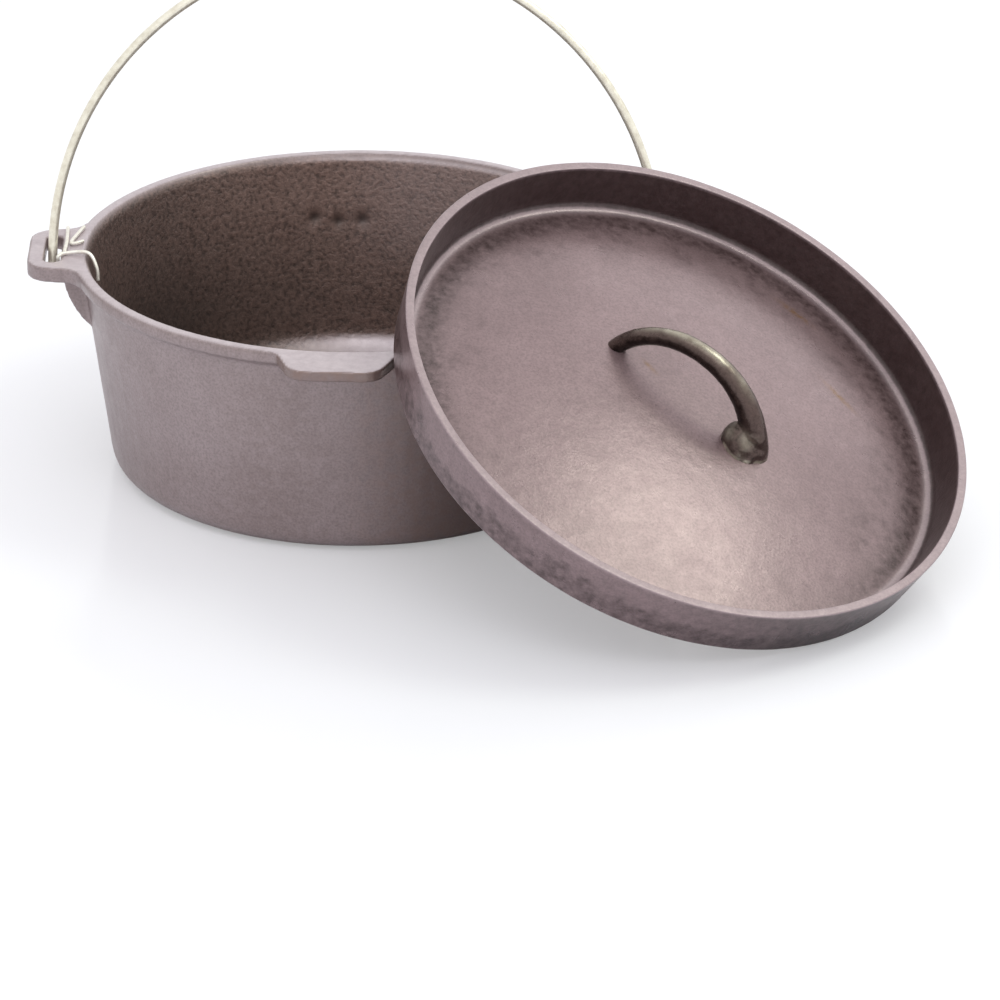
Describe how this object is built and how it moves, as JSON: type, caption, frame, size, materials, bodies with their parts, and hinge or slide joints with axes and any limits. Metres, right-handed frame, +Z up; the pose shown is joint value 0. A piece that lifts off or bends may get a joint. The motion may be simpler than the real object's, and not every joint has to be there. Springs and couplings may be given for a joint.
{
  "type": "dutch oven",
  "caption": "Cast iron camp oven: a deep pot with slotted ears and a front tab, a pan-shaped lid with a loop handle leaning against it, and a swinging wire bail.",
  "frame": {"origin": "centre of the pot's flat underside, on the floor", "axes": "+Z up along the pot's axis; X runs through both ears, with the tied ear at -X; the front tab is on the -Y side"},
  "size_m": [0.4877, 0.4397, 0.2678],
  "materials": {
    "pot_iron": "bare casting with a fine sandy grain, satin, darker and rougher inside",
    "lid_iron": "bare casting with a fine sandy grain, satin",
    "handle_iron": "smooth dark bar with a soft gloss",
    "bail_steel": "pale drawn steel wire",
    "tie_steel": "thin pale wire, dull"
  },
  "bodies": {
    "pot": {"pot": "pot_iron", "tie_wire": "tie_steel"},
    "lid": {"lid": "lid_iron", "lid_handle": "handle_iron"},
    "bail": {"bail": "bail_steel"}
  },
  "joints": [
    {"name": "bail_swing", "type": "hinge", "parent": "pot", "child": "bail", "pos_m": [0, 0, 0.1067], "axis": [-1, 0, 0], "range_deg": [-2.5, 33]},
    {"name": "lid_lift_off", "type": "slide", "parent": "pot", "child": "lid", "axis": [0, 0, 1], "range_m": [0, 0.28]}
  ]
}
